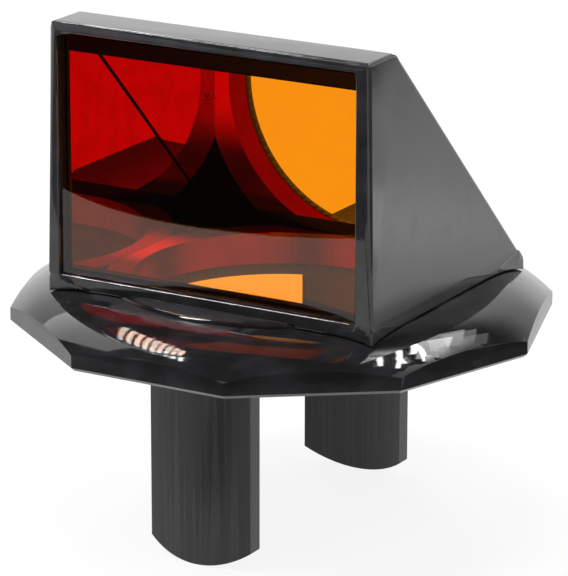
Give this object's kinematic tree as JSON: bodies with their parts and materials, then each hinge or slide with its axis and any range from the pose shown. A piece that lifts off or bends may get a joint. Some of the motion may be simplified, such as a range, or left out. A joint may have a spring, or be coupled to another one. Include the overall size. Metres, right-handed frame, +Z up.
{
  "type": "right-angle mirror prism attachment",
  "caption": "Wedge-shaped mirror hood with a tinted window that swivels on a polygonal flange with curved plug-in tongues.",
  "frame": {"origin": "on the light bore's axis, in the plane of the flange's underside", "axes": "+Z up along the bore's axis, the tinted window faces -Y, +X to the right seen from the window's side"},
  "size_m": [0.0608, 0.0578, 0.058],
  "materials": {
    "black_moulding": "glossy black moulded plastic",
    "tongue_plastic": "satin dark grey moulded plastic",
    "screw_steel": "zinc-plated steel",
    "snap_steel": "spring steel",
    "washer_polymer": "slippery low-friction polymer",
    "mirror_glass": "first-surface mirror",
    "tape": "double-sided adhesive tape",
    "gasket_rubber": "black foam rubber",
    "tinted_pane": "polished orange-red tinted sheet"
  },
  "bodies": {
    "flange": {"base_flange": "black_moulding", "tongue_ring": "tongue_plastic", "ring_screws": "screw_steel", "friction_washer": "washer_polymer"},
    "hood": {"turntable": "black_moulding", "snap_ring": "snap_steel", "hood_shell": "black_moulding", "mirror_plate": "mirror_glass", "mirror_tape": "tape", "window_gasket": "gasket_rubber", "window_pane": "tinted_pane"}
  },
  "joints": [
    {"name": "hood_swivel", "type": "hinge", "parent": "flange", "child": "hood", "pos_m": [0, 0, 0.0042], "axis": [0, 0, 1], "continuous": true}
  ]
}
